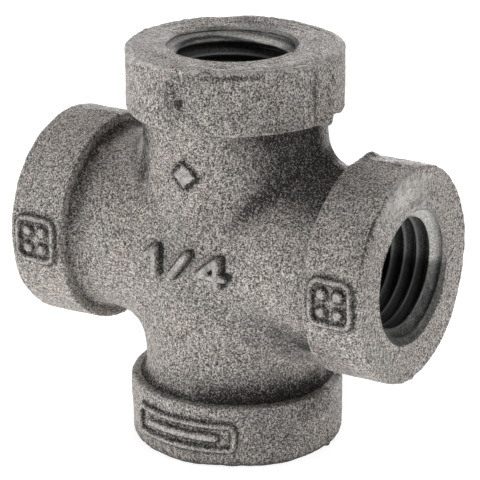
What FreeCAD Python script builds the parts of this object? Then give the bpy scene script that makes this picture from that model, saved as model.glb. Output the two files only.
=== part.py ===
import FreeCAD, Part
import math
import os
from FreeCAD import Vector

# Pipe cross, 1/4-18 NPT, class 150 malleable iron, with banded ports.
#
# Frame: the origin is where the two runs cross, +Z is along the vertical run towards the
# top port, +X along the horizontal run towards the right port, and -Y is the front, the
# side that carries the cast-on marks. The casting parts in the plane Y = 0.
#
# The real fitting is one casting, tapped at its four ports. It is modelled as the regions
# that a foundry drawing names: the hub, a band round each port, and the machined thread
# in each port. The regions meet face to face and do not overlap.

# ---- driving dimensions, millimetres and degrees ----
INCH = 25.4
CENTRE_TO_END = 0.81 * INCH
BAND_RADIUS = 10.93
BAND_WIDTH = 6.4
BAND_BACK_ROUND = 0.35
BAND_FACE_ROUND = 0.35
BARREL_RADIUS = 9.33
CHAMBER_RADIUS = 7.0
CROTCH_FILLET = 3.0
BAND_FILLET = 1.0

# 1/4-18 NPT internal thread
THREAD_PITCH = INCH / 18
TAPER_PER_SIDE = 1 / 32
PITCH_RADIUS_AT_FACE = 0.49163 * INCH / 2
THREAD_HEIGHT = 0.8 * THREAD_PITCH
ROOT_FLAT = 0.055
FLANK_ANGLE = 30.0
THREAD_DEPTH = 9.9
MOUTH_RADIUS = 6.93
MOUTH_ANGLE = 45.0
TAP_DRILL_RADIUS = 27 / 64 * INCH / 2
THROAT_END_DEPTH = 12.0
THREAD_RING_RADIUS = 7.6
# where each port's groove starts, in degrees about the port's axis
THREAD_STARTS = {"top": 257, "right": 257, "bottom": 40, "left": 150}
LEAST_GROOVE_VOLUME = 100.0

# cast-on relief
RELIEF = 0.4
STROKE = 0.55
PARTING_FIN_HEIGHT = 0.12
PARTING_FIN_WIDTH = 0.3
NUMERAL_HEIGHT = 3.2
NUMERAL_STROKE = 0.7
SQUARE_MARK_SIDE = 4.9
SQUARE_MARK_ROUND = 1.2
PAD_MARK_WIDTH = 12.0
PAD_MARK_HEIGHT = 3.2
PIP_RADIUS = 0.55
PIP_SPACING = 1.8
PAD_BAR_LENGTH = 8.4
PAD_BAR_WIDTH = 0.8
DIAMOND_REACH = 1.35
DIAMOND_Z = 9.4

# ---- places worked out from the driving dimensions ----
BAND_BACK = CENTRE_TO_END - BAND_WIDTH
BAND_MIDDLE = CENTRE_TO_END - BAND_WIDTH / 2
THROAT_END = CENTRE_TO_END - THROAT_END_DEPTH
CREST_RADIUS_AT_FACE = PITCH_RADIUS_AT_FACE - THREAD_HEIGHT / 2
OVERSHOOT = 1.0

X_AXIS = Vector(1, 0, 0)
Y_AXIS = Vector(0, 1, 0)
Z_AXIS = Vector(0, 0, 1)
ORIGIN = Vector(0, 0, 0)

# Each port is the top port turned about Y.
PORT_TURNS = {"top": 0, "right": 90, "bottom": 180, "left": 270}


def turned(shape, port):
    """The top port's shape, turned to another port."""
    copy = shape.copy()
    copy.rotate(ORIGIN, Y_AXIS, PORT_TURNS[port])
    return copy


def cylinder_between(radius, low, high, axis=Z_AXIS):
    """A cylinder on an axis through the origin, from low to high along it."""
    return Part.makeCylinder(radius, high - low, axis * low, axis)


def cone_between(low_radius, high_radius, low, high):
    """A truncated cone on Z."""
    return Part.makeCone(low_radius, high_radius, high - low, Z_AXIS * low, Z_AXIS)


def revolved(outline):
    """A closed outline in the XZ plane, turned once round Z."""
    return Part.Face(outline).revolve(ORIGIN, Z_AXIS, 360)


def quarter_arc(centre_r, centre_z, radius, start_degrees, end_degrees):
    """An arc in the XZ plane, by its centre and its two end angles from +X."""
    angles = (start_degrees, (start_degrees + end_degrees) / 2, end_degrees)
    points = []
    for angle in angles:
        turn = math.radians(angle)
        points.append(Vector(centre_r + radius * math.cos(turn), 0, centre_z + radius * math.sin(turn)))
    return Part.Arc(*points).toShape()


def line(r_start, z_start, r_end, z_end):
    return Part.makeLine(Vector(r_start, 0, z_start), Vector(r_end, 0, z_end))


# ---- cast-on marks: outlines in the XZ plane, pushed through the front wall ----
def pushed_to_front(face, depth):
    """An outline at Y = 0, extruded to Y = -depth."""
    return face.extrude(Vector(0, -depth, 0))


def disc_face(x, z, radius):
    circle = Part.Circle(Vector(x, 0, z), Y_AXIS, radius)
    return Part.Face(Part.Wire(circle.toShape()))


def diamond_face(x, z, reach):
    corners = [Vector(x + reach, 0, z), Vector(x, 0, z + reach), Vector(x - reach, 0, z), Vector(x, 0, z - reach)]
    return Part.Face(Part.makePolygon(corners + corners[:1]))


def stroke_face(x_start, z_start, x_end, z_end, width=NUMERAL_STROKE):
    """A straight stroke with square ends, between two points in the XZ plane."""
    along = Vector(x_end - x_start, 0, z_end - z_start).normalize()
    side = Vector(-along.z, 0, along.x) * (width / 2)
    start = Vector(x_start, 0, z_start) - along * (width / 2)
    end = Vector(x_end, 0, z_end) + along * (width / 2)
    corners = [start + side, end + side, end - side, start - side]
    return Part.Face(Part.makePolygon(corners + corners[:1]))


def rounded_rectangle_wire(x, z, width, height, radius):
    box = Part.makeBox(width, 1, height, Vector(x - width / 2, 0, z - height / 2))
    upright = [edge for edge in box.Edges if abs(edge.tangentAt(edge.FirstParameter).y) > 0.9]
    rounded = box.makeFillet(radius, upright)
    front = min(rounded.Faces, key=lambda face: face.CenterOfMass.y)
    return front.OuterWire


def frame_face(x, z, width, height, radius, line_width):
    """A rounded rectangle drawn as a raised line."""
    outer = Part.Face(rounded_rectangle_wire(x, z, width, height, radius))
    inner_width = width - 2 * line_width
    inner_height = height - 2 * line_width
    inner = Part.Face(rounded_rectangle_wire(x, z, inner_width, inner_height, radius - line_width))
    return outer.cut(inner)


def relief_on_cylinder(faces, radius, axis):
    """Marks standing RELIEF proud of a cylinder's front, rooted inside its wall."""
    root = radius - 1.0
    shell = cylinder_between(radius + RELIEF, -CENTRE_TO_END, CENTRE_TO_END, axis)
    shell = shell.cut(cylinder_between(root, -CENTRE_TO_END, CENTRE_TO_END, axis))
    return [pushed_to_front(face, radius + 2 * RELIEF).common(shell) for face in faces]


def size_numerals():
    """The nominal size, 1/4, centred on the hub's front."""
    top = NUMERAL_HEIGHT / 2 - NUMERAL_STROKE / 2
    numeral_one = [
        stroke_face(-3.6, -top, -3.6, top),
        stroke_face(-3.6, top, -4.4, top - 0.7),
    ]
    slash = [stroke_face(-1.7, -top, 0.3, top)]
    numeral_four = [
        stroke_face(3.8, -top, 3.8, top),
        stroke_face(3.8, top, 1.8, -0.45),
        stroke_face(1.8, -0.45, 4.6, -0.45),
    ]
    return numeral_one + slash + numeral_four


def square_mark():
    """A plain rounded square with four pips in it, for the front of a side band."""
    outline = frame_face(0, BAND_MIDDLE, SQUARE_MARK_SIDE, SQUARE_MARK_SIDE, SQUARE_MARK_ROUND, STROKE)
    half = PIP_SPACING / 2
    pips = [disc_face(x, BAND_MIDDLE + z, PIP_RADIUS) for x in (-half, half) for z in (-half, half)]
    return [outline] + pips


def pad_mark():
    """A plain rectangle with a bar in it, for the front of the bottom band."""
    outline = frame_face(0, BAND_MIDDLE, PAD_MARK_WIDTH, PAD_MARK_HEIGHT, STROKE * 1.5, STROKE)
    half = PAD_BAR_LENGTH / 2 - PAD_BAR_WIDTH / 2
    return [outline, stroke_face(-half, BAND_MIDDLE, half, BAND_MIDDLE, PAD_BAR_WIDTH)]


# ---- regions of the casting ----
def barrel(radius, port):
    """A run's outside, from band to band, flaring into a fillet at each band."""
    arc_z = BAND_BACK - BAND_FILLET
    outer = radius + BAND_FILLET
    outline = Part.Wire([
        line(0, -BAND_BACK, outer, -BAND_BACK),
        quarter_arc(outer, -arc_z, BAND_FILLET, 270, 180),
        line(radius, -arc_z, radius, arc_z),
        quarter_arc(outer, arc_z, BAND_FILLET, 180, 90),
        line(outer, BAND_BACK, 0, BAND_BACK),
        line(0, BAND_BACK, 0, -BAND_BACK),
    ])
    return turned(revolved(outline), port)


def crossed_barrels(radius, fillet):
    """The two runs' outsides joined, with the crotches filleted."""
    body = barrel(radius, "top").fuse(barrel(radius, "right"))
    crotches = [edge for edge in body.Edges if edge.Curve.TypeId == "Part::GeomEllipse"]
    return body.makeFillet(fillet, crotches)


def parting_slab(reach):
    """The thin layer either side of Y = 0 in which the parting fin lies."""
    return Part.makeBox(2 * reach, PARTING_FIN_WIDTH, 2 * reach, Vector(-reach, -PARTING_FIN_WIDTH / 2, -reach))


def make_hub():
    body = crossed_barrels(BARREL_RADIUS, CROTCH_FILLET)
    raised = crossed_barrels(BARREL_RADIUS + PARTING_FIN_HEIGHT, CROTCH_FILLET - PARTING_FIN_HEIGHT)
    additions = [raised.common(parting_slab(BAND_BACK))]
    additions += relief_on_cylinder(size_numerals(), BARREL_RADIUS, X_AXIS)
    additions += relief_on_cylinder([diamond_face(0, DIAMOND_Z, DIAMOND_REACH)], BARREL_RADIUS, Z_AXIS)
    for addition in additions:
        body = body.fuse(addition)
    cavities = []
    for port in PORT_TURNS:
        cavities.append(turned(cylinder_between(CHAMBER_RADIUS, 0, THROAT_END), port))
        cavities.append(turned(cylinder_between(THREAD_RING_RADIUS, THROAT_END, BAND_BACK), port))
    return body.cut(cavities).removeSplitter()


def make_top_band(mark_faces):
    back = BAND_BACK + BAND_BACK_ROUND
    face = CENTRE_TO_END - BAND_FACE_ROUND
    back_r = BAND_RADIUS - BAND_BACK_ROUND
    face_r = BAND_RADIUS - BAND_FACE_ROUND
    outline = Part.Wire([
        line(THREAD_RING_RADIUS, BAND_BACK, back_r, BAND_BACK),
        quarter_arc(back_r, back, BAND_BACK_ROUND, -90, 0),
        line(BAND_RADIUS, back, BAND_RADIUS, face),
        quarter_arc(face_r, face, BAND_FACE_ROUND, 0, 90),
        line(face_r, CENTRE_TO_END, THREAD_RING_RADIUS, CENTRE_TO_END),
        line(THREAD_RING_RADIUS, CENTRE_TO_END, THREAD_RING_RADIUS, BAND_BACK),
    ])
    band = revolved(outline)
    fin = cylinder_between(BAND_RADIUS + PARTING_FIN_HEIGHT, back, face)
    fin = fin.cut(cylinder_between(BAND_RADIUS - 1.0, back, face))
    additions = [fin.common(parting_slab(CENTRE_TO_END))]
    additions += relief_on_cylinder(mark_faces, BAND_RADIUS, Z_AXIS)
    return band.fuse(additions).removeSplitter()


def thread_groove():
    """The V groove of the thread, swept along a helix on the taper, clear of both ends."""
    start = CENTRE_TO_END - THREAD_DEPTH
    length = THREAD_DEPTH + 2 * THREAD_PITCH
    crest_start = CREST_RADIUS_AT_FACE - THREAD_DEPTH * TAPER_PER_SIDE
    taper_angle = math.degrees(math.atan(TAPER_PER_SIDE))
    helix = Part.makeHelix(THREAD_PITCH, length, crest_start, taper_angle)
    helix.translate(Z_AXIS * start)
    half_root = ROOT_FLAT / 2
    half_mouth = half_root + THREAD_HEIGHT * math.tan(math.radians(FLANK_ANGLE))
    inside = crest_start - 0.15
    root = crest_start + THREAD_HEIGHT
    section = Part.makePolygon([
        Vector(inside, 0, start - half_mouth),
        Vector(crest_start, 0, start - half_mouth),
        Vector(root, 0, start - half_root),
        Vector(root, 0, start + half_root),
        Vector(crest_start, 0, start + half_mouth),
        Vector(inside, 0, start + half_mouth),
        Vector(inside, 0, start - half_mouth),
    ])
    path = Part.Wire(helix.Edges)
    return path.makePipeShell([section], True, True)


def make_top_thread():
    """The tapped wall of a port: countersink, tapered thread and plain throat."""
    ring = cylinder_between(THREAD_RING_RADIUS, THROAT_END, CENTRE_TO_END)
    throat = cylinder_between(TAP_DRILL_RADIUS, THROAT_END - OVERSHOOT, CENTRE_TO_END)
    ream_depth = (CREST_RADIUS_AT_FACE - TAP_DRILL_RADIUS) / TAPER_PER_SIDE
    over_radius = CREST_RADIUS_AT_FACE + OVERSHOOT * TAPER_PER_SIDE
    reamed = cone_between(TAP_DRILL_RADIUS, over_radius, CENTRE_TO_END - ream_depth, CENTRE_TO_END + OVERSHOOT)
    slope = math.tan(math.radians(MOUTH_ANGLE))
    sink_depth = (MOUTH_RADIUS - TAP_DRILL_RADIUS) / slope
    sink_over = MOUTH_RADIUS + OVERSHOOT * slope
    countersink = cone_between(TAP_DRILL_RADIUS, sink_over, CENTRE_TO_END - sink_depth, CENTRE_TO_END + OVERSHOOT)
    blank = ring.cut([throat, reamed, countersink])
    tapped = blank.cut(thread_groove())
    if blank.Volume - tapped.Volume < LEAST_GROOVE_VOLUME:
        raise RuntimeError("the thread's groove was not cut")
    return tapped


def started_at(thread, port):
    """The tapped wall turned about its own axis, so that its groove starts where the port's does."""
    copy = thread.copy()
    copy.rotate(ORIGIN, Z_AXIS, THREAD_STARTS[port])
    return turned(copy, port)


# ---- write one STEP per region ----
def main():
    os.makedirs("parts", exist_ok=True)
    band_marks = {"top": [], "right": square_mark(), "bottom": pad_mark(), "left": square_mark()}
    thread = make_top_thread()
    nodes = {"hub": make_hub()}
    for port in PORT_TURNS:
        nodes["band_" + port] = turned(make_top_band(band_marks[port]), port)
        nodes["thread_" + port] = started_at(thread, port)
    for name, shape in nodes.items():
        print(f"{name:14} valid {shape.isValid()}  solids {len(shape.Solids)}  volume {shape.Volume:.1f} mm3")
        shape.exportStep(f"parts/{name}.step")


main()
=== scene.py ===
import math

import bmesh
import bpy
import numpy as np
from mathutils import Euler, Matrix, Vector


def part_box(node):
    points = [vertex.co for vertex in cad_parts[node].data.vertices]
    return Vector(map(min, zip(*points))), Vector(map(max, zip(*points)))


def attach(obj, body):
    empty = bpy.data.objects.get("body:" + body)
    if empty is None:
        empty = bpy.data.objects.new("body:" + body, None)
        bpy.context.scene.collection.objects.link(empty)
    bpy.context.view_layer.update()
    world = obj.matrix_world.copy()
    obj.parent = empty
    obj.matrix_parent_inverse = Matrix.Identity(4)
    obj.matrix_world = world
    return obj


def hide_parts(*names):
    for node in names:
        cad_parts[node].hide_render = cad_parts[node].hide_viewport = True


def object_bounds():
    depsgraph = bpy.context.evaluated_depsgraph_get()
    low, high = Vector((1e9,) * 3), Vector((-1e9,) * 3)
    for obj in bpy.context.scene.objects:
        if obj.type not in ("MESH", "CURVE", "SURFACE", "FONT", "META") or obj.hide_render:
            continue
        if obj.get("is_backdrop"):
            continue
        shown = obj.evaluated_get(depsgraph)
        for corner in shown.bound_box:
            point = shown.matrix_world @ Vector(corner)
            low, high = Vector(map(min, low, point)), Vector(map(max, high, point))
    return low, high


# The looks of the pipe cross. The casting's skin and the four tapped ports are built here as
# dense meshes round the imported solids, and every surface has a procedural material.
#
# Lengths in the shape code are millimetres in the part's frame; MM turns them into metres.

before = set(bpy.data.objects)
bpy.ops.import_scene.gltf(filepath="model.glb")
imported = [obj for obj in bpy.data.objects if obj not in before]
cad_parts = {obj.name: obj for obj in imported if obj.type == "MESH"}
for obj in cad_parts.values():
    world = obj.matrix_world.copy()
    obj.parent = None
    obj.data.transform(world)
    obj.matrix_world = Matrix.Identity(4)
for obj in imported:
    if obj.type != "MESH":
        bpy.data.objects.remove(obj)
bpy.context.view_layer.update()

MM = 0.001
PORTS = ("top", "right", "bottom", "left")
END_NORMALS = ((1, 0, 0), (-1, 0, 0), (0, 0, 1), (0, 0, -1))


def box_mm(node):
    """A CAD node's lowest and highest corners, in millimetres."""
    low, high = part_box(node)
    return np.array(low) / MM, np.array(high) / MM


# ---- sizes read from the frame ----
CENTRE_TO_END = box_mm("thread_top")[1][2]
BAND_BACK = box_mm("band_top")[0][2]
BAND_RADIUS = box_mm("band_top")[1][1]
BAND_WIDTH = CENTRE_TO_END - BAND_BACK
BAND_MIDDLE = BAND_BACK + BAND_WIDTH / 2
THROAT_END = box_mm("thread_top")[0][2]

# ---- sizes of the casting's skin ----
BARREL_RADIUS = 9.33
CHAMBER_RADIUS = 7.0
CROTCH_RADIUS = 3.0
FRONT_CROTCH_RADIUS = 5.0
FOOT_RADIUS = 1.0
BACK_EDGE = 0.32
FACE_EDGE = 0.4
FACE_EDGE_SPREAD = 0.18
SOCKET_RADIUS = 7.3
SOCKET_LIP = 0.4
# a band's back is rough only outside this radius, where the hub doesn't cover it
SEAT_RADIUS = 8.6
# grid steps, and the room left round the hub's skin and its cavity
HUB_STEP = 0.14
SKIN_ROOM = (0.1, 1.2, 0.1)
CAVITY_STEP = 0.5
CAVITY_ROOM = 1.0
BAND_COLUMNS = 560
THREAD_COLUMNS = BAND_COLUMNS
ROWS_PER_PITCH = 14
# how far the hub's skin stops short of each band's back, and how far its ring then reaches in
HUB_GAP = 0.03
HUB_SOCKET = 0.2
# the skin is carved only this near the hub's plain surface
SKIN_REACH = 0.9
# height and half width of the parting fin
HUB_FIN = (0.16, 0.16)
BAND_FIN = (0.2, 0.18)

# ---- cast-on marks ----
RELIEF = 0.4
STROKE = 0.55
STROKE_SLOPE = 0.16
NUMERAL_RELIEF = 0.75
NUMERAL_STROKE = 0.78
DIAMOND_RELIEF = 0.22
DIAMOND_HEIGHT = 9.4
DIAMOND_REACH = 1.35
# side and corner radius of the square, width, height and corner radius of the pad
SQUARE_FRAME = (4.9, 1.2)
PIP_RADIUS = 0.55
PIP_SPACING = 1.8
PAD_FRAME = (12.0, 3.2, 0.8)
PAD_BAR = (8.4, 0.8)
# how bright the marks' tops are rubbed, starting this far inside the outline
MARK_WEAR = 0.5
TOP_MARGIN = 0.14
# the dirt round an outline is centred this far outside it, and reaches this far
DIRT_OFFSET = 0.08
DIRT_REACH = 0.25
DIAMOND_DIRT = 0.36
BAND_MARK_DIRT = 0.82
# the numerals' painted shadow lies this far to their right and up, with a thin line of dirt close
# round
# them: its amount, its distance out and its reach
NUMERAL_SHADOW = (0.42, 0.2)
NUMERAL_LINE = (0.8, 0.12, 0.14)

# ---- dirt, wear, painted shade and painted highlight: 1 is dark, 0 bare and -1 bright ----
# painted shade along each crotch, heaviest in the upper right one, by the signs of X and Z: half
# width and amount
CROTCH_SHADE = {
    (1, 1): (1.9, 0.85),
    (-1, 1): (1.2, 0.5),
    (1, -1): (1.5, 0.35),
    (-1, -1): (1.0, 0.15),
}
# a crotch's painted shade starts this far out from the hub's middle, and comes in over this distance
CROTCH_START = 3.0
CROTCH_FADE = 3.5
# painted shade over the upper right corner beyond this X and Z, under the bands: how wide its edge
# is, and the amount
CORNER_SHADE = (5.0, 5.1, 2.8, 0.76)
# painted shade against each band's foot: reach and amount of a narrow line all round and of a wider
# patch, then the patch's direction, where along it the patch starts and how far it fades in
FOOT_SHADE = {
    "top": ((0.6, 0.5), (4.0, 0.92), (1, 0, 0), 3.3, 4),
    "right": ((0.8, 0.7), (1.2, 0.7), (0, 0, -1), -3, 6),
    "bottom": ((0.7, 0.8), (2.4, 0.92), (1, 0, 0), -3, 6),
    "left": ((0.45, 0.6), (0.8, 0.7), (0, 0, 1), -3, 6),
}
# the corner's and the patches' painted shade ends at this Y, after fading over this distance to this
# share
BACK_FADE = (2.3, 2.0, 0.15)
# stains and painted shade on the hub, mostly in its crotches: centre, radii and amount
HUB_STAINS_AND_SHADE = [
    ((7.4, -8.0, -5.0), (2.4, 3.0, 1.6), 0.42),
    ((9.4, -7.2, -6.2), (2.8, 3.0, 2.4), 0.65),
    ((11.9, -6.0, -8.0), (3.4, 3.8, 3.8), 0.97),
    ((-6.7, -6.8, 8.6), (1.7, 2.8, 3.6), 0.75),
    ((-6.4, -6.9, 12.0), (1.6, 2.8, 2.6), 0.75),
    ((-0.6, -9.3, 0.0), (6.5, 4.5, 6.5), 0.17),
    ((3.0, -8.8, 4.2), (2.8, 3.0, 3.4), 0.18),
    ((-9.8, -6.0, 7.2), (3.4, 3.5, 3.4), 0.22),
]
# stains, painted shade and bright patches of wear and painted highlight on the bands: centre, radii
# and amount; bright below 0
BAND_STAINS_AND_LIGHT = {
    "top": [
        ((-0.3, -11.0, 18.8), (0.6, 1.5, 0.6), 0.75),
        ((0.05, -11.0, 18.0), (0.45, 1.5, 0.8), 0.8),
        ((0.5, -11.0, 17.15), (0.65, 1.5, 0.7), 1.2),
        ((-0.5, -11.0, 17.6), (1.5, 1.5, 3.2), 0.45),
        ((1.1, -10.9, 19.2), (2.0, 1.5, 1.3), 0.32),
        ((1.2, -10.9, 15.6), (3.0, 1.5, 1.2), 0.22),
        ((8.8, -6.6, 14.8), (3.4, 3.4, 1.3), 0.36),
        ((-8.0, -2.5, 20.6), (4.5, 8.0, 1.4), -0.5),
        ((5.0, -9.5, 17.2), (9.0, 6.0, 5.0), 0.15),
        ((5.5, -9.5, 20.05), (4.2, 3.6, 0.34), 0.7),
        ((-6.9, 2.2, 20.6), (1.5, 3.4, 1.0), 0.5),
        ((-2.0, 7.7, 20.6), (5.0, 1.3, 1.0), 0.5),
        ((5.64, -6.71, 20.58), (0.6, 0.35, 0.6), -1.6),
        ((10.7, -2.2, 17.2), (0.9, 0.5, 3.0), 0.55),
    ],
    "right": [
        ((20.6, -2.4, 8.8), (1.2, 5.0, 2.4), -0.85),
        ((20.25, -8.0, 6.5), (0.2, 5.5, 6.5), 0.8),
        ((19.6, -9.0, 5.6), (1.4, 2.0, 4.0), 0.25),
        ((17.6, -5.3, 9.9), (3.6, 4.0, 3.0), 0.22),
        ((15.4, -8.2, -7.4), (2.4, 4.0, 3.6), 0.34),
    ],
    "bottom": [
        ((9.0, -6.0, -17.5), (7.0, 7.0, 5.0), 0.34),
        ((10.6, -3.2, -15.4), (3.0, 4.0, 2.2), 0.5),
    ],
}
# how bright the rounded edges of each band are made, by wear and painted highlight, at the back and
# at the face; below 0 is darker
EDGE_WEAR_AND_HIGHLIGHT = {
    "top": (0.4, 0.55),
    "right": (0.3, 0.1),
    "bottom": (0.3, 0.4),
    "left": (-0.3, 0.3),
}

# ---- flaws ----
# lumps and nicks: centre, radii and height along the surface's own direction
HUB_FLAWS = [
    ((-13.8, -4.0, 8.7), (0.7, 0.6, 0.5), 0.45),
    ((-13.1, -4.7, 8.1), (0.5, 0.6, 0.5), 0.4),
    ((-13.3, -5.6, 7.6), (0.4, 0.4, 0.4), 0.3),
    ((10.9, -0.2, 10.0), (1.2, 0.5, 1.2), 0.35),
]
BAND_FLAWS = {
    "top": [
        ((10.9, 0.6, 17.6), (1.0, 0.5, 2.6), 0.35),
        ((10.9, 1.6, 14.4), (1.0, 1.4, 0.6), -0.45),
        ((10.9, -0.4, 14.6), (1.0, 0.5, 0.7), 0.5),
        ((-6.1, 3.6, 20.5), (0.3, 1.0, 0.8), -0.4),
        ((-5.2, 4.6, 20.3), (0.3, 0.7, 0.6), -0.35),
        ((5.64, -6.71, 20.58), (0.6, 0.4, 0.6), -0.15),
        ((3.0, -9.9, 20.4), (5.0, 1.0, 0.5), 0.18),
        ((10.7, -2.2, 17.2), (0.9, 0.5, 3.0), -0.2),
        ((-4.5, 9.6, 20.6), (2.2, 1.8, 0.8), 0.14),
        ((-8.4, 6.6, 20.6), (1.6, 1.8, 0.8), 0.1),
    ],
    "right": [
        ((14.4, 2.2, 10.8), (0.5, 1.6, 0.6), 0.4),
        ((20.5, 0.2, 7.3), (0.6, 1.4, 0.5), 0.35),
    ],
}
# the turned ridges left on each band's face
RIDGE_HEIGHT = {"top": 0.1, "right": 0.05, "bottom": 0.05, "left": 0.05}

# ---- sizes of the 1/4-18 NPT thread ----
PITCH = 25.4 / 18
TAPER = 1 / 32
CREST_RADIUS = 5.679
THREAD_HEIGHT = 0.8 * PITCH
FLANK_ANGLE = 30
ROOT_FLAT = 0.03
MOUTH_RADIUS = 6.93
MOUTH_WOBBLE = 0.07
THROAT_RADIUS = 5.358
THREAD_DEPTH = 9.9
# where each groove starts, in degrees about its port's axis
THREAD_STARTS = {"top": 257, "right": 257, "bottom": 40, "left": 150}
# how each countersink runs out of true, in millimetres: off centre along the port's own X and Y,
# then out of round towards an angle in degrees
COUNTERSINK_OFFSET = {
    "top": (-0.17, -0.05),
    "right": (0.15, -0.18),
    "bottom": (0.1, 0.08),
    "left": (-0.12, 0.1),
}
COUNTERSINK_OVAL = {
    "top": (0.2, 122),
    "right": (0.05, 80),
    "bottom": (0.08, 20),
    "left": (0.06, 140),
}
# painted light and shade on the first flank: the direction in degrees of its lit side, the cosine
# from it at which the flank is half lit, how sharply that changes, then its darkness where lit and
# where shaded
FLANK_LIGHT_AND_SHADE = {
    "top": (140, 0.3, 1.2, 0.05, 0.72),
    "right": (180, -0.08, 5.0, 0.05, 0.6),
    "bottom": (250, 0.0, 0.8, 0.2, 0.7),
    "left": (40, 0.0, 0.8, 0.2, 0.7),
}
# painted shade on the countersink opposite the lit side, and how much less there is towards it
COUNTERSINK_SHADE = {"top": 0.56, "right": 0.64, "bottom": 0.56, "left": 0.56}
COUNTERSINK_LIT = 0.22
# width of the painted shadow line under the lip where the countersink meets the thread
COUNTERSINK_SHADOW_LINE = 0.11
# share of a pitch that the first crest lies behind its groove
FIRST_CREST = 0.62
# past the first crest the oil and painted shade set in over this depth, and are this much lighter on
# the lit side
OIL_AND_SHADE_FADE = 0.2
OIL_LIGHTER_WHEN_LIT = 0.3

# ---- colours, as linear red, green and blue ----
GREY_GROUND = (0.349, 0.335, 0.314)
WARM_GROUND = (0.38, 0.342, 0.318)
CLOUDY_GROUND = (0.421, 0.383, 0.355)
PALE_GRAIN = (0.842, 0.78, 0.73)
DARK_GRAIN = (0.052, 0.047, 0.043)
# painted glints on the tips of worn grain
GLINTING_GRAIN = (0.70, 0.67, 0.63)
PIT = (0.05, 0.047, 0.044)
PINHOLE = (0.045, 0.042, 0.04)
RUST = (0.30, 0.17, 0.12)
# wear and painted highlight: rubbed patches, then brighter rubbed grain
RUBBED_AND_HIGHLIT = (0.5, 0.485, 0.46)
WORN_AND_HIGHLIT = (0.74, 0.71, 0.68)
# dirt and painted shade
GRIME_AND_SHADE = (0.028, 0.029, 0.027)
# tapped iron, from its darker to its lighter speck: on the mouth's painted lit side, on its painted
# shaded side, and down in the oil and painted shade
LIT_BARE_CUT = ((0.44, 0.43, 0.41), (0.86, 0.84, 0.81))
DULL_SHADED_CUT = ((0.075, 0.075, 0.073), (0.21, 0.208, 0.20))
OILY_SHADED_CUT = ((0.035, 0.035, 0.038), (0.066, 0.066, 0.069))
# painted highlights on the thread's crests, where the wall is lit and where it is oiled and shaded
CREST_HIGHLIGHT = ((0.42, 0.42, 0.42), (0.16, 0.16, 0.16))
# painted shade in the hollows of the grooves
GROOVE_SHADE = (0.015, 0.014, 0.013)

# ---- view and lights: degrees and metres, with the lens in millimetres ----
CAMERA_AZIMUTH = 32.47
CAMERA_ELEVATION = 19.93
CAMERA_ROLL = -0.49
CAMERA_DISTANCE = 0.235
LENS = 172.6
LENS_SHIFT = (0.0076, -0.0032)
FLOOR_SIZE = 3.0
FLOOR_GREY = (0.5, 0.5, 0.5, 1)
FLOOR_GLOW = 0.87
WORLD_LIGHT = 0.08
LIGHT_DISTANCE = 0.6
LIGHT_SIZE = 0.35
# name, compass angle from the front, height angle and power in watts
LIGHTS = [
    ("low_left", 312, 4, 1.8),
    ("back_left", 250, 55, 1.25),
    ("right", 80, 46, 0.8),
    ("low_front", 0, 4, 0.06),
    ("low_back", 200, 8, 1.7),
]


# ---- noise ----
# turns the noise's lattice away from the part's axes, and keeps its cells above zero
NOISE_TURN = np.array([[0.36, 0.48, -0.8], [-0.8, 0.6, 0.0], [0.48, 0.64, 0.6]])
NOISE_OFFSET = 1000.37


def lattice_value(i, j, k, seed):
    """A repeatable random number from -1 to 1 at each lattice point."""
    mixed = (i * np.uint32(0x8DA6B343)) ^ (j * np.uint32(0xD8163841)) ^ (k * np.uint32(0xCB1AB31F))
    mixed = (mixed ^ np.uint32(seed * 2654435 + 97)) * np.uint32(0x9E3779B1)
    mixed ^= mixed >> np.uint32(15)
    mixed *= np.uint32(0x85EBCA6B)
    mixed ^= mixed >> np.uint32(13)
    mixed *= np.uint32(0xC2B2AE35)
    mixed ^= mixed >> np.uint32(16)
    return mixed.astype(np.float32) * np.float32(2 / 4294967295) - np.float32(1)


def noise(points, size, seed):
    """Smooth noise from about -1 to 1, with features of that size in millimetres."""
    place = (points @ NOISE_TURN.T) / size + NOISE_OFFSET + seed
    cell = np.floor(place)
    part = (place - cell).astype(np.float32)
    part = part * part * (3 - 2 * part)
    cell = cell.astype(np.uint32)
    total = np.zeros(len(points), np.float32)
    for corner in range(8):
        step = np.array([corner & 1, corner >> 1 & 1, corner >> 2 & 1], np.uint32)
        weight = np.prod(np.where(step == 1, part, 1 - part), axis=1)
        at = cell + step
        total += weight * lattice_value(at[:, 0], at[:, 1], at[:, 2], seed)
    return total


def cast_skin(points):
    """How far the as-cast skin stands out at each point: waves, lumps and sandy grain."""
    waves = 0.10 * noise(points, 5.0, 1) + 0.05 * noise(points, 2.4, 2)
    lumps = 0.035 * noise(points, 1.1, 3)
    grain = 0.03 * noise(points, 0.5, 4) + 0.02 * noise(points, 0.27, 5)
    return waves + lumps + grain


# ---- cast-on marks, as heights from 0 to 1 over the front ----
def rise(distance):
    """1 inside an outline and 0 outside it, with a sloped edge."""
    part = np.clip(0.5 - distance / (2 * STROKE_SLOPE), 0, 1)
    return part * part * (3 - 2 * part)


def stroke(x, z, start, end, width=STROKE):
    """Distance outside a straight stroke with round ends."""
    run = np.subtract(end, start)
    along = ((x - start[0]) * run[0] + (z - start[1]) * run[1]) / (run @ run)
    along = np.clip(along, 0, 1)
    return np.hypot(x - start[0] - along * run[0], z - start[1] - along * run[1]) - width / 2


def rounded_frame(x, z, width, height, corner):
    """Distance outside the line of a rounded rectangle."""
    across = np.abs(x) - width / 2 + corner
    up = np.abs(z) - height / 2 + corner
    outside = np.hypot(np.maximum(across, 0), np.maximum(up, 0))
    outside = outside + np.minimum(np.maximum(across, up), 0)
    return np.abs(outside - corner + STROKE / 2) - STROKE / 2


def pip(x, z):
    """Distance outside a round pip."""
    return np.hypot(x, z) - PIP_RADIUS


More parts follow.
